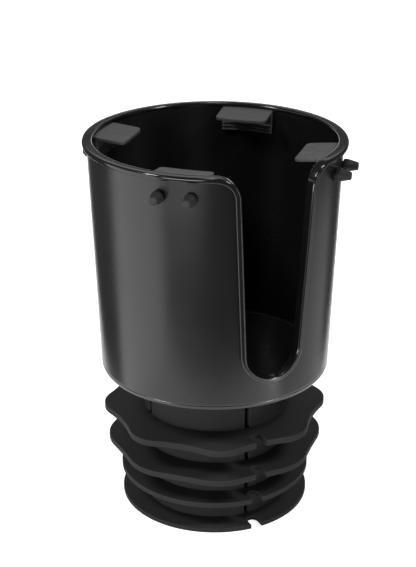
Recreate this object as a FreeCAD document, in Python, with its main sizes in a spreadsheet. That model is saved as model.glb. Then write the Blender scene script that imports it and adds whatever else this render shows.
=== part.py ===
import FreeCAD, Part
import math
import os
import Sketcher
from FreeCAD import Placement, Rotation, Vector

# Cup holder expander. The axis of the cup is Z, the bottom fin stands on z = 0
# and the slot for a mug handle faces -Y. Lengths are in mm, angles in degrees.

os.makedirs("parts", exist_ok=True)
doc = FreeCAD.newDocument("cup_holder_expander")

sizes = doc.addObject("Spreadsheet::Sheet", "sizes")
values = [
    ("base_height", 62.5),
    ("cup_height", 100),
    ("opening_radius", 50),
    ("wall", 2.4),
    ("wall_draft", 2.2),
    ("floor_thickness", 2.5),
    ("foot_bevel", 1.8),
    ("floor_bevel", 2),
    ("rim_overhang", 2),
    ("rim_depth", 2.3),
    ("rim_bevel", 0.5),
    ("rim_under_bevel", 1),
    ("slot_rise", 13),
    ("slot_round", 11.5),
    ("slot_draft", 3.2),
    ("slot_corner", 9.5),
    ("lip_width", 2.3),
    ("lip_height", 1.7),
    ("lip_bevel", 0.5),
    ("stem_radius", 27.7),
    ("stem_wall", 2.4),
    ("stem_lift", 1),
    ("bead_height", 1.2),
    ("bead_face", 0.8),
    ("bead_top", 4.6),
    ("tab_width", 22.2),
    ("tab_reach", 35.7),
    ("tab_drop", 1.75),
    ("tab_droop", 1.65),
    ("tab_corner", 2.2),
    ("flap_thickness", 1.3),
    ("plate_thickness", 1.4),
    ("plate_height", 10),
    ("ridge_height", 0.9),
    ("ridge_pitch", 1.5),
    ("pin_spacing", 13),
    ("pin_drop", 9.3),
    ("neck_radius", 1.6),
    ("pin_clearance", 0.12),
    ("barb_radius", 2.6),
    ("barb_face", 1.5),
    ("barb_tip_radius", 1.6),
    ("front_barb_length", 5.9),
    ("back_barb_length", 2.8),
    ("hub_wall", 3),
    ("foot_fin_radius", 40.64),
    ("foot_fin_thickness", 2),
    ("low_fin_radius", 41),
    ("low_fin_thickness", 2.3),
    ("low_fin_top", 14.7),
    ("mid_fin_radius", 44.1),
    ("mid_fin_scallop", 200),
    ("mid_fin_crest", 20),
    ("mid_fin_thickness", 2.6),
    ("mid_fin_top", 28.4),
    ("high_fin_radius", 44),
    ("high_fin_scallop", 55),
    ("high_fin_crest", 13),
    ("high_fin_thickness", 2.8),
    ("high_fin_top", 43.4),
    ("notch_width", 4.8),
    ("low_notch_share", 0.35),
    ("high_notch_share", 0.47),
    ("slit_width", 2),
    ("sleeve_turn", -1.5),
]
for row, (alias, value) in enumerate(values, 1):
    sizes.set(f"A{row}", alias)
    sizes.set(f"B{row}", str(value))
    sizes.setAlias(f"B{row}", alias)
doc.recompute()


def size(name):
    return f"sizes.{name}"


def number(text):
    # value of an expression at the sizes in the sheet
    result = sizes.evalExpression(text)
    return float(getattr(result, "Value", result))


def origin_item(body, role):
    for item in body.Origin.OriginFeatures:
        if item.Role == role:
            return item


def new_body(name):
    body = doc.addObject("PartDesign::Body", name)
    body.Label = name
    return body


def new_sketch(body, name, plane):
    sketch = body.newObject("Sketcher::SketchObject", name)
    sketch.AttachmentSupport = (origin_item(body, plane), [""])
    sketch.MapMode = "FlatFace"
    return sketch


def place_point(sketch, geometry, point, across, up):
    # ties one point of a sketch to two expressions, measured from its origin
    position = sketch.getPoint(geometry, point)
    for kind, value, text in (("DistanceX", position.x, across), ("DistanceY", position.y, up)):
        constraint = Sketcher.Constraint(kind, -1, 1, geometry, point, value)
        index = sketch.addConstraint(constraint)
        sketch.setExpression(f"Constraints[{index}]", text)


def closed_outline(sketch, points):
    # closed polyline through points that are given as pairs of expressions
    corners = [Vector(number(across), number(up), 0) for across, up in points]
    first = sketch.GeometryCount
    count = len(corners)
    for i in range(count):
        sketch.addGeometry(Part.LineSegment(corners[i], corners[(i + 1) % count]), False)
    for i in range(count):
        following = first + (i + 1) % count
        sketch.addConstraint(Sketcher.Constraint("Coincident", first + i, 2, following, 1))
    for i, (across, up) in enumerate(points):
        place_point(sketch, first + i, 1, across, up)


def add_circle(sketch, across, up, radius):
    # circle whose centre and radius are expressions
    centre = Vector(number(across), number(up), 0)
    circle = sketch.addGeometry(
        Part.Circle(centre, Vector(0, 0, 1), number(radius)), False)
    place_point(sketch, circle, 3, across, up)
    index = sketch.addConstraint(Sketcher.Constraint("Radius", circle, number(radius)))
    sketch.setExpression(f"Constraints[{index}]", radius)


def finish_feature(body, feature, sketch):
    sketch.Visibility = False
    body.Tip = feature
    doc.recompute()
    return feature


def revolve(body, name, sketch, axis, angle=360):
    feature = body.newObject("PartDesign::Revolution", name)
    feature.Profile = sketch
    feature.ReferenceAxis = axis
    feature.Angle = angle
    feature.Midplane = angle < 360
    return finish_feature(body, feature, sketch)


def extrude(body, name, sketch, length, kind="Pad", reverse=False):
    feature = body.newObject(f"PartDesign::{kind}", name)
    feature.Profile = sketch
    feature.setExpression("Length", length)
    feature.Reversed = reverse
    return finish_feature(body, feature, sketch)


def dress_edges(body, name, length, wanted, kind="Fillet"):
    # fillet or chamfer on the edges of the current shape that pass the test
    base = body.Tip
    edges = [f"Edge{i}" for i, edge in enumerate(base.Shape.Edges, 1) if wanted(edge)]
    feature = body.newObject(f"PartDesign::{kind}", name)
    feature.Base = (base, edges)
    feature.setExpression("Radius" if kind == "Fillet" else "Size", length)
    body.Tip = feature
    doc.recompute()
    return feature


def join(body, name, tool, kind):
    feature = body.newObject("PartDesign::Boolean", name)
    feature.setObjects([tool])
    feature.Type = kind
    body.Tip = feature
    doc.recompute()
    return feature


def is_ring(edge, radius, height):
    # true for a circle about Z with this radius and height
    circle = edge.Curve
    if not isinstance(circle, Part.Circle):
        return False
    centred = abs(circle.Center.x) < 0.01 and abs(circle.Center.y) < 0.01
    return centred and abs(circle.Radius - radius) < 0.01 and abs(circle.Center.z - height) < 0.01


def runs_along(edge, direction):
    return isinstance(edge.Curve, Part.Line) and abs(edge.Curve.Direction.dot(direction)) > 0.999


# A fillet that rounds off a whole end keeps this share of the half width, so
# that the two corners stay apart.
full_round = 0.98
# Angle that the flap of a tab is turned through before its sides are trimmed.
tab_sweep = 60

# Heights and radii that follow from the sheet, as expressions.
cup_bottom = size("base_height")
rim_top = f"({cup_bottom} + {size('cup_height')})"
floor_top = f"({cup_bottom} + {size('floor_thickness')})"
rim_under = f"({rim_top} - {size('rim_depth')})"
slot_bottom = f"({cup_bottom} + {size('slot_rise')})"
slot_middle = f"({slot_bottom} + {size('slot_round')})"
rim_radius = f"({size('opening_radius')} + {size('wall')} + {size('rim_overhang')})"
pin_height = f"({rim_top} - {size('pin_drop')})"
hub_radius = f"({size('stem_radius')} + {size('hub_wall')})"


def inner_radius(height):
    slope = f"tan({size('wall_draft')} * 1 deg)"
    return f"({size('opening_radius')} - ({rim_top} - {height}) * {slope})"


def outer_radius(height):
    return f"({inner_radius(height)} + {size('wall')})"


# The cup, its floor and its rolled rim are turned in one profile.
cup = new_body("cup_body")
cup_profile = new_sketch(cup, "cup_profile", "XZ_Plane")
closed_outline(cup_profile, [
    ("0", cup_bottom),
    (outer_radius(cup_bottom), cup_bottom),
    (outer_radius(rim_under), rim_under),
    (rim_radius, rim_under),
    (rim_radius, rim_top),
    (size("opening_radius"), rim_top),
    (inner_radius(floor_top), floor_top),
    ("0", floor_top),
])
revolve(cup, "cup_turning", cup_profile, (origin_item(cup, "Z_Axis"), [""]))
ring_chamfers = [
    ("rim_under_chamfer", "rim_under_bevel", outer_radius(rim_under), rim_under),
    ("foot_chamfer", "foot_bevel", outer_radius(cup_bottom), cup_bottom),
    ("rim_outer_chamfer", "rim_bevel", rim_radius, rim_top),
    ("rim_inner_chamfer", "rim_bevel", size("opening_radius"), rim_top),
    ("floor_chamfer", "floor_bevel", inner_radius(floor_top), floor_top),
]
for name, bevel, ring_radius, height in ring_chamfers:
    ring = (number(ring_radius), number(height))
    dress_edges(cup, name, size(bevel), lambda edge: is_ring(edge, *ring), "Chamfer")


# Outline of the slot in the wall, seen along Y: a tapered channel with a round
# end, open at the top. With an offset it is the outline of the lip around it.
def slot_block(name, offset):
    bottom = f"({slot_bottom} - {offset})"
    top = f"({rim_top} - {offset})"

    def half_width(height):
        angle = f"{size('slot_draft')} * 1 deg"
        return f"(({size('slot_round')} + {offset}) / cos({angle})" \
            f" + ({height} - {slot_middle}) * tan({angle}))"

    block = new_body(name)
    outline = new_sketch(block, f"{name}_outline", "XZ_Plane")
    side = f"(2 * {rim_radius})"
    above = f"(1.2 * {rim_top})"
    closed_outline(outline, [
        (f"-{half_width(bottom)}", bottom),
        (half_width(bottom), bottom),
        (half_width(top), top),
        (side, top),
        (side, above),
        (f"-{side}", above),
        (f"-{side}", top),
        (f"-{half_width(top)}", top),
    ])
    extrude(block, f"{name}_pad", outline, f"1.2 * {rim_radius}")
    y_axis = Vector(0, 1, 0)
    low = number(bottom)
    high = number(top)
    reach = number(rim_radius)
    dress_edges(block, f"{name}_end", f"{full_round} * ({size('slot_round')} + {offset})",
                lambda edge: runs_along(edge, y_axis)
                and abs(edge.CenterOfMass.z - low) < 0.01)
    dress_edges(block, f"{name}_corner", f"{size('slot_corner')} - {offset}",
                lambda edge: runs_along(edge, y_axis)
                and abs(edge.CenterOfMass.z - high) < 0.01
                and abs(edge.CenterOfMass.x) < reach)
    return block


# The lip stands out from the wall around the slot and runs into the rim.
lip = new_body("slot_lip")
lip_profile = new_sketch(lip, "lip_profile", "XZ_Plane")
lip_low = f"({slot_bottom} - 2 * {size('lip_width')})"
lip_high = f"({rim_top} - {size('rim_depth')} / 2)"
closed_outline(lip_profile, [
    (f"({outer_radius(lip_low)} - {size('wall')} / 2)", lip_low),
    (f"({outer_radius(lip_low)} + {size('lip_height')})", lip_low),
    (f"({outer_radius(lip_high)} + {size('lip_height')})", lip_high),
    (f"({outer_radius(lip_high)} - {size('wall')} / 2)", lip_high),
])
revolve(lip, "lip_turning", lip_profile, (origin_item(lip, "Z_Axis"), [""]))
join(lip, "lip_outline", slot_block("lip_block", size("lip_width")), "Common")
join(lip, "lip_opening", slot_block("lip_slot_block", "0"), "Cut")


def is_lip_edge(edge):
    # true for an edge between the outer face of the lip and one of its sides
    middle = edge.valueAt((edge.FirstParameter + edge.LastParameter) / 2)
    stands = math.hypot(middle.x, middle.y) - number(outer_radius(f"{middle.z}"))
    inside = number(lip_low) + 0.01 < middle.z < number(lip_high) - 0.01
    return inside and abs(stands - number(size("lip_height"))) < 0.02


dress_edges(lip, "lip_chamfer", size("lip_bevel"), is_lip_edge, "Chamfer")
join(cup, "slot_cut", slot_block("slot_block", "0"), "Cut")
join(cup, "lip_join", lip, "Fuse")

# The hollow stem under the floor carries the sleeve, which its bead holds on.
stem_foot = size("stem_lift")
bead_top = size("bead_top")
bead_radius = f"({size('stem_radius')} + {size('bead_height')})"
bead_edge = f"({bead_top} - {size('bead_face')})"
bead_foot = f"({bead_edge} - 1.3 * {size('bead_height')})"
bead_outline = [
    (size("stem_radius"), bead_foot),
    (bead_radius, bead_edge),
    (bead_radius, bead_top),
    (size("stem_radius"), bead_top),
]
stem_bore = f"({size('stem_radius')} - {size('stem_wall')})"
stem_profile = new_sketch(cup, "stem_profile", "XZ_Plane")
closed_outline(stem_profile, [
    (stem_bore, stem_foot),
    (size("stem_radius"), stem_foot),
    *bead_outline,
    (size("stem_radius"), f"({cup_bottom} + {size('floor_thickness')} / 2)"),
    (stem_bore, f"({cup_bottom} + {size('floor_thickness')} / 2)"),
])
revolve(cup, "stem_turning", stem_profile, (origin_item(cup, "Z_Axis"), [""]))

# The grip tabs stand four times around the wall. The pins of the front ones are
# pulled through further than those of the back ones.
tabs = {
    "grip_tab_back_right": (45, "back_barb_length"),
    "grip_tab_back_left": (135, "back_barb_length"),
    "grip_tab_front_left": (225, "front_barb_length"),
    "grip_tab_front_right": (315, "front_barb_length"),
}
# Two holes in the wall for the pins of each tab.
hole_sketch = new_sketch(cup, "pin_holes", "YZ_Plane")
hole_sketch.AttachmentOffset = Placement(Vector(), Rotation(Vector(0, 1, 0), 45))
for side in ("-", ""):
    add_circle(hole_sketch, f"{side}{size('pin_spacing')} / 2", pin_height,
               f"{size('neck_radius')} + {size('pin_clearance')}")
holes = extrude(cup, "pin_hole_pair", hole_sketch, rim_radius, "Pocket", reverse=True)
pattern = cup.newObject("PartDesign::PolarPattern", "pin_hole_pattern")
pattern.Originals = [holes]
pattern.Axis = (origin_item(cup, "Z_Axis"), [""])
pattern.Angle = 360
pattern.Occurrences = len(tabs)
cup.Tip = pattern
doc.recompute()


# One rubber grip tab: a flap across the opening, a ribbed plate on the wall and
# two barbed pins that push through the wall. Made along X, then turned.
def grip_tab(name, turn, barb_length):
    tab = new_body(name)
    top = f"({rim_top} - {size('tab_drop')})"
    under = f"({top} - {size('flap_thickness')})"
    low = f"({top} - {size('plate_height')})"
    pitch = size("ridge_pitch")
    start = f"(0.95 * {size('tab_reach')})"

    def plate_face(height):
        return f"({inner_radius(height)} - {size('plate_thickness')})"

    droop = size("tab_droop")
    outline = [
        (start, f"({top} - {droop})"),
        (f"({inner_radius(top)} - {size('plate_thickness')})", top),
        (inner_radius(top), top),
        (inner_radius(low), low),
    ]
    for ridge in range(3):
        foot = f"({low} + {ridge} * {pitch})"
        peak = f"({plate_face(foot)} - {size('ridge_height')})"
        outline += [
            (plate_face(foot), foot),
            (peak, f"({foot} + 0.25 * {pitch})"),
            (peak, f"({foot} + 0.45 * {pitch})"),
            (plate_face(f"({foot} + 0.7 * {pitch})"), f"({foot} + 0.7 * {pitch})"),
        ]
    outline += [(plate_face(under), under), (start, f"({under} - {droop})")]
    tab_profile = new_sketch(tab, f"{name}_profile", "XZ_Plane")
    closed_outline(tab_profile, outline)
    revolve(tab, f"{name}_turning", tab_profile, (origin_item(tab, "Z_Axis"), [""]), tab_sweep)

    trim = new_sketch(tab, f"{name}_trim", "XY_Plane")
    half = f"{size('tab_width')} / 2"
    for inner, outer, side in (("0", f"2 * {rim_radius}", rim_radius),
                               (size("tab_reach"), f"1.5 * {rim_radius}", half)):
        closed_outline(trim, [
            (inner, f"-{side}"), (outer, f"-{side}"), (outer, side), (inner, side)])
    extrude(tab, f"{name}_trimming", trim, f"2 * {rim_top}", "Pocket", reverse=True)
    reach = number(size("tab_reach"))
    dress_edges(tab, f"{name}_corners", size("tab_corner"),
                lambda edge: runs_along(edge, Vector(0, 0, 1))
                and abs(edge.CenterOfMass.x - reach) < 0.01)

    pin = new_sketch(tab, f"{name}_pin_profile", "XZ_Plane")
    pin.setExpression("AttachmentOffset.Base.z", f"-{size('pin_spacing')} / 2")
    root = plate_face(pin_height)
    shoulder = f"({outer_radius(pin_height)} + {size('pin_clearance')})"
    face_end = f"({shoulder} + {size('barb_face')})"
    tip = f"({shoulder} + {size(barb_length)})"
    neck = f"({pin_height} + {size('neck_radius')})"
    barb = f"({pin_height} + {size('barb_radius')})"
    closed_outline(pin, [
        (root, pin_height),
        (tip, pin_height),
        (tip, f"({pin_height} + {size('barb_tip_radius')})"),
        (face_end, barb),
        (shoulder, barb),
        (shoulder, neck),
        (root, neck),
    ])
    ends = [Vector(0, number(pin_height), 0),
            Vector(number(rim_radius), number(pin_height), 0)]
    axis = pin.addGeometry(Part.LineSegment(*ends), True)
    place_point(pin, axis, 1, "0", pin_height)
    place_point(pin, axis, 2, rim_radius, pin_height)
    pin_feature = revolve(tab, f"{name}_pin", pin, (pin, ["Axis0"]))
    pins = tab.newObject("PartDesign::Mirrored", f"{name}_pins")
    pins.Originals = [pin_feature]
    pins.MirrorPlane = (origin_item(tab, "XZ_Plane"), [""])
    tab.Tip = pins
    tab.Placement = Placement(Vector(), Rotation(Vector(0, 0, 1), turn))
    doc.recompute()
    return tab


# The rubber sleeve: a hub on the stem with two round and two wavy fins.
sleeve = new_body("fin_sleeve")
hub_profile = new_sketch(sleeve, "hub_profile", "XZ_Plane")
low_under = f"({size('low_fin_top')} - {size('low_fin_thickness')})"
closed_outline(hub_profile, [
    (size("stem_radius"), "0"),
    (size("foot_fin_radius"), "0"),
    (size("foot_fin_radius"), size("foot_fin_thickness")),
    (hub_radius, size("foot_fin_thickness")),
    (hub_radius, low_under),
    (size("low_fin_radius"), low_under),
    (size("low_fin_radius"), size("low_fin_top")),
    (hub_radius, size("low_fin_top")),
    (hub_radius, cup_bottom),
    (size("stem_radius"), cup_bottom),
    *reversed(bead_outline),
])
revolve(sleeve, "hub_turning", hub_profile, (origin_item(sleeve, "Z_Axis"), [""]))


# Wavy fin: a disc with eight scallops around its edge, the crests between them
# rounded off. Its radius is the one at the bottom of the scallops.
def wavy_fin(level):
    lobes = 8
    radius = size(f"{level}_fin_radius")
    scallop = size(f"{level}_fin_scallop")
    thickness = size(f"{level}_fin_thickness")
    top = size(f"{level}_fin_top")
    under = f"({top} - {thickness})"
    disc = new_sketch(sleeve, f"{level}_fin_disc", "XY_Plane")
    disc.setExpression("AttachmentOffset.Base.z", under)
    add_circle(disc, "0", "0", f"1.25 * {radius}")
    add_circle(disc, "0", "0", f"({size('stem_radius')} + {hub_radius}) / 2")
    extrude(sleeve, f"{level}_fin", disc, thickness)

    cutter = new_sketch(sleeve, f"{level}_fin_scallop", "XY_Plane")
    cutter.setExpression("AttachmentOffset.Base.z", under)
    add_circle(cutter, "0", f"{radius} + {scallop}", scallop)
    cut = extrude(sleeve, f"{level}_fin_cut", cutter, thickness, "Pocket", reverse=True)
    around = sleeve.newObject("PartDesign::PolarPattern", f"{level}_fin_pattern")
    around.Originals = [cut]
    around.Axis = (origin_item(sleeve, "Z_Axis"), [""])
    around.Angle = 360
    around.Occurrences = lobes
    sleeve.Tip = around
    doc.recompute()

    heights = (number(under), number(top))
    trough = number(radius)

    def is_crest(edge):
        middle = edge.CenterOfMass
        inside = heights[0] < middle.z < heights[1]
        outside = math.hypot(middle.x, middle.y) > trough
        return runs_along(edge, Vector(0, 0, 1)) and inside and outside

    dress_edges(sleeve, f"{level}_fin_crests", size(f"{level}_fin_crest"), is_crest)


wavy_fin("mid")
wavy_fin("high")

# Radial notch with a round inner end, cut upwards through two fins at a time. Its
# end stands at a share of the way from the hub to the edge of the fin.
between = f"({size('low_fin_top')} + {size('mid_fin_top')}) / 2"
notch_cuts = [
    ("low", "0", size("low_fin_top")),
    ("high", between, size("high_fin_top")),
]
for level, start, stop in notch_cuts:
    name = f"{level}_notch"
    notch = new_sketch(sleeve, name, "XY_Plane")
    notch.setExpression("AttachmentOffset.Base.z", start)
    half = f"{size('notch_width')} / 2"
    reach = f"({size(f'{level}_fin_radius')} - {hub_radius})"
    inner = f"-({hub_radius} + {size(f'{level}_notch_share')} * {reach})"
    outer = f"-2 * {hub_radius}"
    closed_outline(notch, [
        (f"-{half}", outer), (half, outer), (half, inner), (f"-{half}", inner)])
    extrude(sleeve, f"{name}_cut", notch, f"{stop} - {start} + 1", "Pocket", reverse=True)
    corner = number(inner)
    dress_edges(sleeve, f"{name}_end", f"{full_round} * {half}",
                lambda edge: runs_along(edge, Vector(0, 0, 1))
                and abs(edge.CenterOfMass.y - corner) < 0.01)

# Four slits along the hub, between the bottom fin and the cup.
slits = new_sketch(sleeve, "slits", "XY_Plane")
slits.setExpression("AttachmentOffset.Base.z", size("foot_fin_thickness"))
half = f"{size('slit_width')} / 2"
inner = f"0.9 * {size('stem_radius')}"
closed_outline(slits, [
    (f"-{half}", f"-{hub_radius}"), (half, f"-{hub_radius}"),
    (half, f"-{inner}"), (f"-{half}", f"-{inner}")])
slit = extrude(sleeve, "slit_cut", slits, cup_bottom, "Pocket", reverse=True)
slit_pattern = sleeve.newObject("PartDesign::PolarPattern", "slit_pattern")
slit_pattern.Originals = [slit]
slit_pattern.Axis = (origin_item(sleeve, "Z_Axis"), [""])
slit_pattern.Angle = 360
slit_pattern.Occurrences = 4
sleeve.Tip = slit_pattern
sleeve.Placement = Placement(Vector(), Rotation(Vector(0, 0, 1), 1))
sleeve.setExpression("Placement.Rotation.Angle", f"{size('sleeve_turn')} * 1 deg")
doc.recompute()

nodes = [cup, sleeve] + [grip_tab(name, *tab) for name, tab in tabs.items()]
doc.recompute()
for item in doc.Objects:
    if "Invalid" in item.State or "Error" in item.State:
        raise RuntimeError(f"{item.Label}: {item.State}")
for node in nodes:
    shape = node.Shape
    if not shape.isValid() or len(shape.Solids) != 1:
        raise RuntimeError(f"{node.Label}: {len(shape.Solids)} solids")
    shape.exportStep(f"parts/{node.Label}.step")
    box = shape.BoundBox
    print(node.Label, round(shape.Volume), len(shape.Faces),
          [round(v, 2) for v in (box.XMin, box.XMax, box.YMin, box.YMax, box.ZMin, box.ZMax)])
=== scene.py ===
import bpy
import math
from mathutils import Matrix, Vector


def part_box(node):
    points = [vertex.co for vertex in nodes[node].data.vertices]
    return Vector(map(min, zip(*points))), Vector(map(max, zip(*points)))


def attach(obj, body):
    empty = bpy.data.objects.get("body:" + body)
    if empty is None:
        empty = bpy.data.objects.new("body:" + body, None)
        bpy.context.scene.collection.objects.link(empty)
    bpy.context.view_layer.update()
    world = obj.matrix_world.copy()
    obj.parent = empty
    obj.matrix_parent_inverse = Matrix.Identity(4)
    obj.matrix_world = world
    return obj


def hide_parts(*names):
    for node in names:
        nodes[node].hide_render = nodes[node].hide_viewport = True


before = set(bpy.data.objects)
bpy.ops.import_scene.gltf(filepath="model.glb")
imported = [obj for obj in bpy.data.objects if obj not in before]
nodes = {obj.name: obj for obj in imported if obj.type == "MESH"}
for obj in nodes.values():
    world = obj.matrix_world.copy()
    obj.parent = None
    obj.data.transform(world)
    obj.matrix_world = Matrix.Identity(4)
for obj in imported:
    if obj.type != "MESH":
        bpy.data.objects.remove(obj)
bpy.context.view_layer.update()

# Studio picture of the cup holder expander: black moulded cup, finned rubber
# sleeve under it, four rubber grip tabs inside its rim. Lengths are in metres
# and angles in degrees, unless a comment says otherwise.

nearlyZero = 1e-6        # points closer than this are one point


# tools
def deselectAll():
    bpy.ops.object.select_all(action="DESELECT")


def selectOnly(piece):
    deselectAll()
    piece.select_set(True)
    bpy.context.view_layer.objects.active = piece


def startEdit(piece):
    # edit mode, with all of the piece selected
    selectOnly(piece)
    bpy.ops.object.mode_set(mode="EDIT")
    bpy.ops.mesh.select_mode(type="VERT")
    bpy.ops.mesh.select_all(action="SELECT")


def endEdit():
    bpy.ops.object.mode_set(mode="OBJECT")


def pickVertices(piece, wanted):
    # leaves edit mode on, with only the wanted vertices selected
    startEdit(piece)
    bpy.ops.mesh.select_all(action="DESELECT")
    endEdit()
    for vertex in piece.data.vertices:
        vertex.select = wanted(vertex.co)
    bpy.ops.object.mode_set(mode="EDIT")


def extrudeBy(step):
    bpy.ops.mesh.extrude_region_move()
    bpy.ops.transform.translate(value=step)


def weldAll(distance):
    bpy.ops.mesh.select_all(action="SELECT")
    bpy.ops.mesh.remove_doubles(threshold=distance)
    bpy.ops.mesh.normals_make_consistent(inside=False)


def applyPlace():
    bpy.ops.object.transform_apply(location=True, rotation=True, scale=True)


def useModifier(piece, kind, settings):
    modifier = piece.modifiers.new(kind.lower(), kind)
    for key, value in settings.items():
        setattr(modifier, key, value)
    bpy.context.view_layer.objects.active = piece
    bpy.ops.object.modifier_apply(modifier=modifier.name)


def mirrorPiece(piece):
    # adds the left half of a piece whose right half ends at X = 0
    useModifier(piece, "MIRROR", {
        "use_axis": (True, False, False), "use_clip": True, "merge_threshold": nearlyZero})


def feed(tree, socket, value):
    # links another node's output, or sets a plain value
    if isinstance(value, bpy.types.NodeSocket):
        tree.links.new(value, socket)
    else:
        socket.default_value = value


def addMath(tree, operation, first, second):
    node = tree.nodes.new("ShaderNodeMath")
    node.operation = operation
    feed(tree, node.inputs[0], first)
    feed(tree, node.inputs[1], second)
    return node.outputs[0]


# camera
cameraView = {
    "slotTurn": 27.9,        # from the slot to the camera, round the cup
    "distance": 0.5586,      # from the axis of the cup
    "height": 0.3323,
    "pitch": 22.8,           # down
    "yaw": 0.3,              # the cup stands a little right of the middle
    "focalPixels": 1431.4,
    "photoPixels": 567,      # height of the photo
    "sensor": 36,            # millimetres
    "nearest": 0.01,
}


def placeCamera(view):
    turn = math.radians(view["slotTurn"])
    place = (-view["distance"] * math.sin(turn), -view["distance"] * math.cos(turn), view["height"])
    look = (math.radians(90 - view["pitch"]), 0, math.radians(view["yaw"]) - turn)
    bpy.ops.object.camera_add(location=place, rotation=look)
    camera = bpy.context.object
    camera.name = "studioCamera"
    camera.data.sensor_width = view["sensor"]
    camera.data.lens = view["focalPixels"] * view["sensor"] / view["photoPixels"]
    camera.data.clip_start = view["nearest"]
    bpy.context.scene.camera = camera


placeCamera(cameraView)
bpy.context.scene.view_settings.view_transform = "Standard"
print("camera placed")


# studio
studio = {
    # paper sweep as the camera sees it, kept narrow so that the cup mirrors little of it
    "halfWidth": 0.14, "front": 0.165, "back": 0.12, "backShare": 0.9,
    "bend": 0.07, "bendSteps": 16, "rise": 0.12,
    "paperColour": (0.8, 0.8, 0.8, 1),
    "paperGlow": 0.78,       # what the paper needs besides the lamps to come out white
    "worldColour": (1, 1, 1, 1), "worldLight": 0.1,
    "lampAim": 0.09,         # height that every lamp points at
}
lamps = {
    # turn goes round the cup from the camera, and the light comes in watts
    "leftLow": {"turn": -74, "height": -0.02, "distance": 0.5, "size": (0.5, 0.6), "watts": 1.8},
    "rightLow": {"turn": 102, "height": -0.2, "distance": 0.5, "size": (0.5, 0.3), "watts": 0.34},
    "frontLow": {"turn": 5, "height": -0.15, "distance": 0.6, "size": (1, 0.3), "watts": 0.05},
    "slotStrip": {"turn": 56, "height": -0.02, "distance": 0.5, "size": (0.08, 0.5), "watts": 0.8},
    "frontFill": {"turn": -26, "height": 0.03, "distance": 0.85, "size": (0.5, 0.2), "watts": 3.6},
    "leftHigh": {"turn": -65, "height": 0.75, "distance": 0.65, "size": (0.08, 0.25), "watts": 3.6},
    "rightHigh": {"turn": 65, "height": 0.75, "distance": 0.65, "size": (0.08, 0.25), "watts": 3.6},
    "backTop": {"turn": 180, "height": 0.9, "distance": 1.2, "size": (1.2, 0.5), "watts": 1.2},
    "overhead": {"turn": 0, "height": 1.4, "distance": 0.04, "size": (0.2, 0.2), "watts": 3},
}


def addGlow(tree, level):
    # camera, mirror and glass rays see this level, diffuse ones don't
    path = tree.nodes.new("ShaderNodeLightPath")
    seen = path.outputs["Is Camera Ray"]
    for kind in ("Is Glossy Ray", "Is Transmission Ray"):
        seen = addMath(tree, "MAXIMUM", seen, path.outputs[kind])
    return addMath(tree, "MULTIPLY", seen, level)


def clearFromBehind(tree, surface):
    # the camera looks through the back of the paper, light does not
    side = tree.nodes.new("ShaderNodeNewGeometry")
    path = tree.nodes.new("ShaderNodeLightPath")
    clear = tree.nodes.new("ShaderNodeBsdfTransparent")
    choice = tree.nodes.new("ShaderNodeMixShader")
    through = addMath(tree, "MULTIPLY", side.outputs["Backfacing"], path.outputs["Is Camera Ray"])
    for socket, value in zip(choice.inputs, (through, surface, clear.outputs[0])):
        tree.links.new(value, socket)
    return choice.outputs[0]


def makePaper(settings):
    material = bpy.data.materials.new("studioPaper")
    material.use_nodes = True
    tree = material.node_tree
    tree.nodes.clear()
    output = tree.nodes.new("ShaderNodeOutputMaterial")
    paper = tree.nodes.new("ShaderNodeBsdfDiffuse")
    paper.inputs["Color"].default_value = settings["paperColour"]
    glow = tree.nodes.new("ShaderNodeEmission")
    tree.links.new(addGlow(tree, settings["paperGlow"]), glow.inputs["Strength"])
    both = tree.nodes.new("ShaderNodeAddShader")
    tree.links.new(paper.outputs[0], both.inputs[0])
    tree.links.new(glow.outputs[0], both.inputs[1])
    tree.links.new(clearFromBehind(tree, both.outputs[0]), output.inputs["Surface"])
    return material


def addSweep(settings, paper):
    # a floor that bends up behind the cup, turned to face the camera
    bpy.ops.mesh.primitive_plane_add(size=1, location=(0, 0, 0))
    sweep = bpy.context.object
    sweep.name = "studioSweep"
    length = settings["front"] + settings["back"]
    startEdit(sweep)
    bpy.ops.transform.resize(value=(2 * settings["halfWidth"], length, 1))
    bpy.ops.transform.translate(value=(0, settings["back"] - length / 2, 0))
    endEdit()
    pickVertices(sweep, lambda place: place.y > 0)
    bpy.ops.transform.resize(value=(settings["backShare"], 1, 1), center_override=(0, 0, 0))
    bpy.ops.mesh.spin(
        steps=settings["bendSteps"], angle=-math.pi / 2,
        center=(0, settings["back"], settings["bend"]), axis=(1, 0, 0))
    extrudeBy((0, 0, settings["rise"]))
    bpy.ops.mesh.select_all(action="SELECT")
    bpy.ops.transform.rotate(
        value=math.radians(cameraView["slotTurn"]), orient_axis="Z", center_override=(0, 0, 0))
    endEdit()
    bpy.ops.object.shade_smooth()
    sweep.data.materials.append(paper)


def lightWorld(settings):
    world = bpy.data.worlds.new("studioWorld")
    bpy.context.scene.world = world
    world.use_nodes = True
    background = world.node_tree.nodes["Background"]
    background.inputs["Color"].default_value = settings["worldColour"]
    background.inputs["Strength"].default_value = settings["worldLight"]


def addLamps(rig, aim):
    target = Vector((0, 0, aim))
    for name, lamp in rig.items():
        turn = math.radians(lamp["turn"] - cameraView["slotTurn"] - 90)
        reach = lamp["distance"]
        place = Vector((reach * math.cos(turn), reach * math.sin(turn), lamp["height"]))
        bpy.ops.object.light_add(type="AREA", location=place)
        light = bpy.context.object
        light.name = name
        light.rotation_euler = (target - place).to_track_quat("-Z", "Y").to_euler()
        light.data.shape = "RECTANGLE"
        light.data.size, light.data.size_y = lamp["size"]
        light.data.energy = lamp["watts"]


addSweep(studio, makePaper(studio))
lightWorld(studio)
addLamps(lamps, studio["lampAim"])
print("studio lit")


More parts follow.
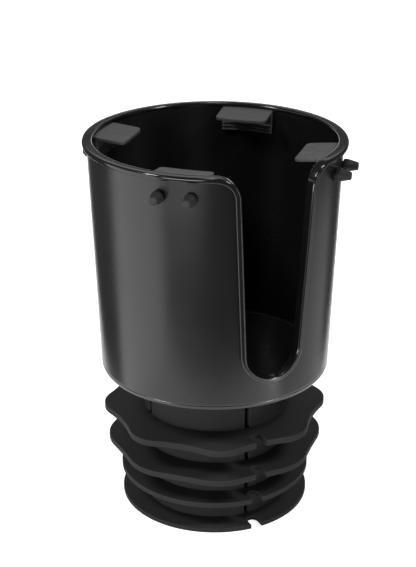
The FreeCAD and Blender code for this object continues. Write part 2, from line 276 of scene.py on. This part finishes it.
# finishes
textures = {
    "grains": ((3, 0.7), (1, 0.3)),      # detail, and scale as a share of the grain scale
    "driftDetail": 4, "driftSpan": (0.3, 0.7), "driftTint": 1.25,
    "wearAndHighlightSamples": 4, "wearAndHighlightGain": 4, "wearAndHighlightScale": 240, "wearAndHighlightDetail": 5,
    "dustScale": 900, "dustDetail": 6, "dustPower": 3,
}
cupFinish = {
    "colour": (0.0055, 0.0055, 0.0058), "wornAndHighlight": (0.03, 0.03, 0.031), "dusty": (0.15, 0.15, 0.15),
    "roughness": (0.23, 0.29), "specular": 0.5, "grainScale": 2600, "grainDepth": 0.00001,
    "driftScale": 28, "waveDepth": 0.00002, "wearAndHighlightWidth": 0.0007, "wearAndHighlight": 0.25, "dust": 0.015,
}
finishes = {
    "cupPlastic": cupFinish,
    "rimPlastic": {**cupFinish, "roughness": (0.11, 0.17), "grainDepth": 0.000004, "wearAndHighlight": 0.2, "dust": 0.05},
    "sleeveRubber": {
        # its lighter edge colour is a painted highlight along the fin edges
        "colour": (0.031, 0.031, 0.0317), "wornAndHighlight": (0.11, 0.11, 0.112), "dusty": (0.18, 0.18, 0.17),
        "roughness": (0.42, 0.56), "specular": 0.01, "grainScale": 1800, "grainDepth": 0.00002,
        "driftScale": 60, "waveDepth": 0.00002, "wearAndHighlightWidth": 0.0008, "wearAndHighlight": 0.4, "dust": 0.01,
    },
    "tabRubber": {
        "colour": (0.055, 0.055, 0.057), "wornAndHighlight": (0.14, 0.14, 0.143), "dusty": (0.22, 0.22, 0.22),
        "roughness": (0.5, 0.65), "specular": 0.4, "grainScale": 1500, "grainDepth": 0.00006,
        "driftScale": 120, "waveDepth": 0.0009, "wearAndHighlightWidth": 0.0006, "wearAndHighlight": 0.9, "dust": 0.12,
        # painted shade darkens the pins, the only part further from the axis of the cup than this
        "pinPaintedShade": (0.014, 0.014, 0.0145), "pinsBeyond": 0.051,
    },
}


def newGroup(name, inputs, outputs):
    # all sockets are plain numbers
    group = bpy.data.node_groups.new(name, "ShaderNodeTree")
    for direction, labels in (("INPUT", inputs), ("OUTPUT", outputs)):
        for label in labels:
            group.interface.new_socket(label, in_out=direction, socket_type="NodeSocketFloat")
    start = group.nodes.new("NodeGroupInput")
    end = group.nodes.new("NodeGroupOutput")
    return group, start, end


def addNoise(tree, scale, detail):
    place = tree.nodes.new("ShaderNodeTexCoord")
    noise = tree.nodes.new("ShaderNodeTexNoise")
    tree.links.new(place.outputs["Object"], noise.inputs["Vector"])
    feed(tree, noise.inputs["Scale"], scale)
    feed(tree, noise.inputs["Detail"], detail)
    return noise.outputs["Fac"]


def buildGrainGroup():
    # fine spark-eroded mould texture, and a slow drift in how matt it is
    group, start, end = newGroup("mouldGrain", ("Grain Scale", "Drift Scale"), ("Height", "Drift"))
    heights = []
    for detail, share in textures["grains"]:
        scale = addMath(group, "MULTIPLY", start.outputs["Grain Scale"], share)
        heights.append(addNoise(group, scale, detail))
    height = addMath(group, "DIVIDE", addMath(group, "ADD", *heights), len(heights))
    drift = addNoise(group, start.outputs["Drift Scale"], textures["driftDetail"])
    group.links.new(height, end.inputs["Height"])
    group.links.new(drift, end.inputs["Drift"])
    return group


def buildWearAndHighlightGroup():
    # edges a little lighter, broken up by noise: rubbed wear, and on the sleeve a painted highlight along the
    # fin edges
    group, start, end = newGroup("edgeWearAndHighlight", ("Width", "Amount"), ("Mask",))
    rounded = group.nodes.new("ShaderNodeBevel")
    rounded.samples = textures["wearAndHighlightSamples"]
    group.links.new(start.outputs["Width"], rounded.inputs["Radius"])
    plain = group.nodes.new("ShaderNodeNewGeometry")
    match = group.nodes.new("ShaderNodeVectorMath")
    match.operation = "DOT_PRODUCT"
    group.links.new(rounded.outputs[0], match.inputs[0])
    group.links.new(plain.outputs["Normal"], match.inputs[1])
    edge = addMath(group, "SUBTRACT", 1, match.outputs["Value"])
    edge = addMath(group, "MULTIPLY", edge, textures["wearAndHighlightGain"])
    broken = addMath(group, "MULTIPLY", edge, addNoise(group, textures["wearAndHighlightScale"], textures["wearAndHighlightDetail"]))
    wornAndHighlight = addMath(group, "MULTIPLY", broken, start.outputs["Amount"])
    group.links.new(addMath(group, "MINIMUM", wornAndHighlight, 1), end.inputs["Mask"])
    return group


def buildDustGroup():
    # faint dust on what faces up
    group, start, end = newGroup("restingDust", ("Amount",), ("Mask",))
    facing = group.nodes.new("ShaderNodeNewGeometry")
    parts = group.nodes.new("ShaderNodeSeparateXYZ")
    group.links.new(facing.outputs["Normal"], parts.inputs[0])
    upward = addMath(group, "MAXIMUM", parts.outputs["Z"], 0)
    noise = addNoise(group, textures["dustScale"], textures["dustDetail"])
    specks = addMath(group, "POWER", noise, textures["dustPower"])
    settled = addMath(group, "MULTIPLY", upward, specks)
    group.links.new(addMath(group, "MULTIPLY", settled, start.outputs["Amount"]), end.inputs["Mask"])
    return group


grainGroup = buildGrainGroup()
wearAndHighlightGroup = buildWearAndHighlightGroup()
dustGroup = buildDustGroup()


def addGroup(tree, group, values):
    node = tree.nodes.new("ShaderNodeGroup")
    node.node_tree = group
    for label, value in values.items():
        node.inputs[label].default_value = value
    return node


def socketCalled(sockets, identifier):
    return next(socket for socket in sockets if socket.identifier == identifier)


def mixColour(tree, mask, under, over):
    mix = tree.nodes.new("ShaderNodeMix")
    mix.data_type = "RGBA"
    tree.links.new(mask, mix.inputs["Factor"])
    for identifier, value in (("A_Color", under), ("B_Color", over)):
        colour = (*value, 1) if isinstance(value, tuple) else value
        feed(tree, socketCalled(mix.inputs, identifier), colour)
    return socketCalled(mix.outputs, "Result_Color")


def addPinShadeMask(tree, radius):
    # 1 further from the axis of the cup than the radius, else 0; marks where the pins get painted shade
    place = tree.nodes.new("ShaderNodeNewGeometry")
    across = tree.nodes.new("ShaderNodeVectorMath")
    across.operation = "MULTIPLY"
    across.inputs[1].default_value = (1, 1, 0)
    reach = tree.nodes.new("ShaderNodeVectorMath")
    reach.operation = "LENGTH"
    tree.links.new(place.outputs["Position"], across.inputs[0])
    tree.links.new(across.outputs["Vector"], reach.inputs[0])
    return addMath(tree, "GREATER_THAN", reach.outputs["Value"], radius)


def spreadRoughness(tree, drift, smooth, rough):
    spread = tree.nodes.new("ShaderNodeMapRange")
    low, high = textures["driftSpan"]
    for label, value in (("Value", drift), ("From Min", low), ("From Max", high),
                         ("To Min", smooth), ("To Max", rough)):
        feed(tree, spread.inputs[label], value)
    return spread.outputs["Result"]


def addBump(tree, height, depth):
    bump = tree.nodes.new("ShaderNodeBump")
    bump.inputs["Distance"].default_value = depth
    tree.links.new(height, bump.inputs["Height"])
    return bump


def makeFinish(name, finish):
    material = bpy.data.materials.new(name)
    material.use_nodes = True
    tree = material.node_tree
    grain = addGroup(tree, grainGroup, {
        "Grain Scale": finish["grainScale"], "Drift Scale": finish["driftScale"]})
    wearAndHighlight = addGroup(tree, wearAndHighlightGroup, {"Width": finish["wearAndHighlightWidth"], "Amount": finish["wearAndHighlight"]})
    dust = addGroup(tree, dustGroup, {"Amount": finish["dust"]})
    drift = grain.outputs["Drift"]
    lighter = tuple(textures["driftTint"] * value for value in finish["colour"])
    colour = mixColour(tree, drift, finish["colour"], lighter)
    # lighter edges: rubbed wear, and on the sleeve a painted highlight
    colour = mixColour(tree, wearAndHighlight.outputs["Mask"], colour, finish["wornAndHighlight"])
    colour = mixColour(tree, dust.outputs["Mask"], colour, finish["dusty"])
    # painted shade on the pins, darker as if in shadow
    if "pinPaintedShade" in finish:
        colour = mixColour(tree, addPinShadeMask(tree, finish["pinsBeyond"]), colour, finish["pinPaintedShade"])
    bump = addBump(tree, grain.outputs["Height"], finish["grainDepth"])
    wave = addBump(tree, drift, finish["waveDepth"])
    tree.links.new(bump.outputs["Normal"], wave.inputs["Normal"])
    shader = tree.nodes["Principled BSDF"]
    feed(tree, shader.inputs["Base Color"], colour)
    feed(tree, shader.inputs["Roughness"], spreadRoughness(tree, drift, *finish["roughness"]))
    feed(tree, shader.inputs["Specular IOR Level"], finish["specular"])
    feed(tree, shader.inputs["Normal"], wave.outputs["Normal"])
    return material


materials = {name: makeFinish(name, finish) for name, finish in finishes.items()}
print("finishes made")


# pieces
def finishPiece(piece, nodeName, finish, shape):
    selectOnly(piece)
    bpy.ops.object.shade_smooth_by_angle(angle=math.radians(shape["sharp"]))
    piece.data.materials.clear()
    piece.data.materials.append(materials[finish])
    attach(piece, "root")
    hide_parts(nodeName)
    print(piece.name, len(piece.data.polygons), "faces")


def roundedOutline(corners, steps=5):
    # points of an outline whose corners are (across, up, rounding)
    points = []
    for index, (across, up, rounding) in enumerate(corners):
        here = Vector((across, up))
        if not rounding:
            points.append(here)
            continue
        before = (Vector(corners[index - 1][:2]) - here).normalized()
        after = (Vector(corners[index + 1][:2]) - here).normalized()
        half = before.angle(after) / 2
        centre = here + (before + after).normalized() * rounding / math.sin(half)
        reach = rounding / math.tan(half)
        start = here + before * reach - centre
        end = here + after * reach - centre
        points += [centre + rounding * start.slerp(end, step / steps) for step in range(steps + 1)]
    return points


def turnPiece(name, outline, segments):
    # turned solid: a disc at the axis, then ring after ring until the axis again
    deselectAll()
    first = outline[0]
    bpy.ops.mesh.primitive_circle_add(
        vertices=segments, radius=first.x, location=(0, 0, first.y), fill_type="TRIFAN")
    piece = bpy.context.object
    piece.name = name
    applyPlace()
    startEdit(piece)
    bpy.ops.mesh.select_mode(type="EDGE")
    bpy.ops.mesh.select_all(action="DESELECT")
    bpy.ops.mesh.select_non_manifold()
    last = first
    for point in outline[1:]:
        bpy.ops.mesh.extrude_region_move()
        grow = point.x / last.x
        bpy.ops.transform.resize(value=(grow, grow, 1), center_override=(0, 0, 0))
        bpy.ops.transform.translate(value=(0, 0, point.y - last.y))
        last = point
    bpy.ops.mesh.extrude_region_move()
    bpy.ops.mesh.merge(type="CENTER")
    weldAll(nearlyZero)
    endEdit()
    return piece


cupLow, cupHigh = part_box("cup_body")
cup = {
    "segments": 300, "sharp": 50,
    "rimRadius": cupHigh[0], "top": cupHigh[2], "stemFoot": cupLow[2],
    "height": 0.1, "openingRadius": 0.05, "wall": 0.0024, "draft": 2.2,
    "floor": 0.0025, "floorRound": 0.0006, "hubShare": 0.2,
    # a band under a fine groove; the guard ring keeps the groove out of the wall's shading
    "footBand": 0.0018, "footInset": 0.0004, "footEdge": 0.0006, "footRound": 0.0003,
    "footGroove": 0.0002, "footGuard": 0.0008,
    "slotRise": 0.013, "slotRound": 0.0115, "slotCorner": 0.0095, "slotDraft": 3.2,
    "bottomSteps": 18, "sideSteps": 30, "cornerSteps": 14, "rimSteps": 260,
    "beadWidth": 0.0023, "beadHeight": 0.00185, "beadProud": 0.0001, "beadWeld": 0.00015,
    "beadRound": 0.0009, "beadSegments": 6, "beadSharp": 60,
    "cutInset": 0.0006, "guideSpare": 0.01,
    "cutStart": 0.5, "cutLength": 1, "guideReach": 1.5,        # in rim radii
    # end of the bead that is spun round the rim: slack along X, and bead widths below the top
    "pickSlack": 0.00001, "pickWidths": 1.1,
    "stemRadius": 0.0277, "stemWall": 0.0024,
    "ringHeight": 0.0012, "ringTop": 0.0046, "ringFace": 0.0008, "ringLean": 1.3,
    "wallFinish": "cupPlastic", "beadFinish": "rimPlastic", "slot": "cup_plastic",
}
cup["bottom"] = cup["top"] - cup["height"]


def innerRadius(height):
    return cup["openingRadius"] - (cup["top"] - height) * math.tan(math.radians(cup["draft"]))


def outerRadius(height):
    return innerRadius(height) + cup["wall"]


def slotMarks():
    # lean of the side, middle of the round bottom, middle of the upper corner, length of the side
    lean = math.radians(cup["slotDraft"])
    both = cup["slotRound"] + cup["slotCorner"]
    low = cup["bottom"] + cup["slotRise"] + cup["slotRound"]
    high = cup["top"] - cup["slotCorner"]
    side = (high - low + both * math.sin(lean)) / math.cos(lean)
    across = both * math.cos(lean) + side * math.sin(lean)
    return lean, Vector((0, 0, low)), Vector((across, 0, high)), side


def drawSlotPath(name, offset, width):
    # line along the right half of the slot, or a flat band if it has a width
    lean, low, corner, side = slotMarks()
    deselectAll()
    bpy.ops.mesh.primitive_plane_add(size=1, location=(0, 0, 0))
    piece = bpy.context.object
    piece.name = name
    startEdit(piece)
    bpy.ops.mesh.merge(type="CENTER")
    bpy.ops.transform.translate(value=low - Vector((0, 0, cup["slotRound"] + offset)))
    if width:
        extrudeBy((0, 0, -width))
        bpy.ops.mesh.select_all(action="SELECT")
        bpy.ops.mesh.subdivide(number_cuts=1)
        bpy.ops.mesh.select_all(action="SELECT")
    turn = math.pi / 2 - lean
    bpy.ops.mesh.spin(steps=cup["bottomSteps"], angle=turn, center=low, axis=(0, 1, 0))
    step = Vector((math.sin(lean), 0, math.cos(lean))) * side / cup["sideSteps"]
    for _ in range(cup["sideSteps"]):
        extrudeBy(step)
    bpy.ops.mesh.spin(steps=cup["cornerSteps"], angle=-turn, center=corner, axis=(0, 1, 0))
    endEdit()
    return piece


def bendOnWall(piece):
    # presses a flat piece along Y onto the outside of the wall
    low = cup["bottom"] - cup["guideSpare"]
    high = cup["top"] + cup["guideSpare"]
    deselectAll()
    bpy.ops.mesh.primitive_cone_add(
        vertices=cup["segments"], radius1=outerRadius(low), radius2=outerRadius(high),
        depth=high - low, location=(0, 0, (low + high) / 2))
    guide = bpy.context.object
    selectOnly(piece)
    bpy.ops.transform.translate(value=(0, -cup["guideReach"] * cup["rimRadius"], 0))
    applyPlace()
    useModifier(piece, "SHRINKWRAP", {
        "target": guide, "wrap_method": "PROJECT", "wrap_mode": "ON_SURFACE", "use_project_y": True})
    bpy.data.objects.remove(guide)


def turnOutward(piece):
    # flips an open surface round the axis if its normals point in
    flat = Vector((1, 1, 0))
    if sum(face.normal.dot(face.center * flat) for face in piece.data.polygons) < 0:
        startEdit(piece)
        bpy.ops.mesh.flip_normals()
        endEdit()


def makeRimBead():
    # one bead runs round the slot and on round the rim
    piece = drawSlotPath("rimBead", 0, cup["beadWidth"])
    mirrorPiece(piece)
    bendOnWall(piece)
    corner = slotMarks()[2]
    right = corner.x - cup["pickSlack"]
    high = cup["top"] - cup["pickWidths"] * cup["beadWidth"]
    pickVertices(piece, lambda place: place.x > right and place.z > high)
    away = math.asin(corner.x / outerRadius(cup["top"]))
    bpy.ops.mesh.spin(
        steps=cup["rimSteps"], angle=-2 * (math.pi - away), center=(0, 0, 0), axis=(0, 0, 1))
    weldAll(cup["beadWeld"])
    lower = cup["beadHeight"] * math.sin(math.radians(cup["draft"]))
    bpy.ops.transform.translate(value=(0, 0, -lower))
    endEdit()
    turnOutward(piece)
    thickness = cup["wall"] + cup["beadProud"] + cup["beadHeight"]
    useModifier(piece, "SOLIDIFY", {
        "thickness": thickness, "offset": 2 * cup["beadHeight"] / thickness - 1, "use_even_offset": True})
    useModifier(piece, "BEVEL", {
        "width": cup["beadRound"], "segments": cup["beadSegments"],
        "limit_method": "ANGLE", "angle_limit": math.radians(cup["beadSharp"])})
    return piece


def makeSlotCutter():
    # the opening up to just inside the bead, which hides the cut
    piece = drawSlotPath("slotCutter", cup["cutInset"], 0)
    startEdit(piece)
    bpy.ops.mesh.extrude_region_move()
    bpy.ops.transform.resize(value=(0, 1, 1), center_override=(0, 0, 0))
    bpy.ops.mesh.select_all(action="SELECT")
    bpy.ops.mesh.remove_doubles(threshold=nearlyZero)
    endEdit()
    mirrorPiece(piece)
    startEdit(piece)
    bpy.ops.transform.translate(value=(0, -cup["cutStart"] * cup["rimRadius"], 0))
    extrudeBy((0, -cup["cutLength"] * cup["rimRadius"], 0))
    bpy.ops.mesh.select_all(action="SELECT")
    bpy.ops.mesh.normals_make_consistent(inside=False)
    endEdit()
    return piece


def makeCupWall():
    # wall, floor, grooved foot and hollow stem turned in one, then the slot cut out
    wallTop = cup["top"] - cup["beadWidth"] / 2
    floor = cup["bottom"] + cup["floor"]
    groove = cup["footGroove"]
    bandTop = cup["bottom"] + cup["footBand"]
    guard = bandTop + cup["footGuard"]
    soft = cup["footRound"]
    stem = cup["stemRadius"]
    hub = cup["hubShare"] * stem
    bore = stem - cup["stemWall"]
    ring = stem + cup["ringHeight"]
    ringEdge = cup["ringTop"] - cup["ringFace"]
    piece = turnPiece("cupWall", roundedOutline([
        (hub, floor, 0),
        (innerRadius(floor), floor, cup["floorRound"]),
        (innerRadius(wallTop), wallTop, 0),
        (outerRadius(wallTop), wallTop, 0),
        (outerRadius(guard), guard, 0),
        (outerRadius(bandTop + groove), bandTop + groove, 0),
        (outerRadius(bandTop) - groove, bandTop, 0),
        (outerRadius(bandTop), bandTop - groove, 0),
        (outerRadius(cup["bottom"]) - cup["footInset"], cup["bottom"], cup["footEdge"]),
        (stem, cup["bottom"], soft),
        (stem, cup["ringTop"], 0),
        (ring, cup["ringTop"], 0),
        (ring, ringEdge, 0),
        (stem, ringEdge - cup["ringLean"] * cup["ringHeight"], 0),
        (stem, cup["stemFoot"], soft),
        (bore, cup["stemFoot"], soft),
        (bore, cup["bottom"], 0),
        (hub, cup["bottom"], 0),
    ]), cup["segments"])
    cutter = makeSlotCutter()
    useModifier(piece, "BOOLEAN", {"object": cutter, "operation": "DIFFERENCE", "solver": "EXACT"})
    bpy.data.objects.remove(cutter)
    return piece


cupPieces = ((makeCupWall(), cup["wallFinish"]), (makeRimBead(), cup["beadFinish"]))
for cupPiece, cupPieceFinish in cupPieces:
    finishPiece(cupPiece, "cup_body", cupPieceFinish, cup)
print("cup made")


moulded = {"merge": 0.000002, "roundSegments": 3, "sharp": 50, "normalWeight": 80}
sleeve = {**moulded, "round": 0.0003, "finish": "sleeveRubber", "slot": "sleeve_rubber"}
tab = {**moulded, "round": 0.00018, "finish": "tabRubber", "slot": "tab_rubber"}


def softenedCopy(nodeName, pieceName, shape):
    # copy of a moulded part with its sharp edges rounded
    selectOnly(nodes[nodeName])
    bpy.ops.object.duplicate()
    piece = bpy.context.object
    piece.name = pieceName
    bpy.ops.mesh.customdata_custom_splitnormals_clear()
    startEdit(piece)
    bpy.ops.mesh.remove_doubles(threshold=shape["merge"])
    endEdit()
    useModifier(piece, "BEVEL", {
        "width": shape["round"], "segments": shape["roundSegments"], "limit_method": "ANGLE",
        "angle_limit": math.radians(shape["sharp"]), "use_clamp_overlap": False})
    finishPiece(piece, nodeName, shape["finish"], shape)
    useModifier(piece, "WEIGHTED_NORMAL", {"weight": shape["normalWeight"], "keep_sharp": True})


softenedCopy("fin_sleeve", "finnedSleeve", sleeve)
for name in sorted(nodes):
    if name.startswith("grip_tab"):
        softenedCopy(name, name.replace("grip_tab", "softTab"), tab)
print("sleeve and tabs made")
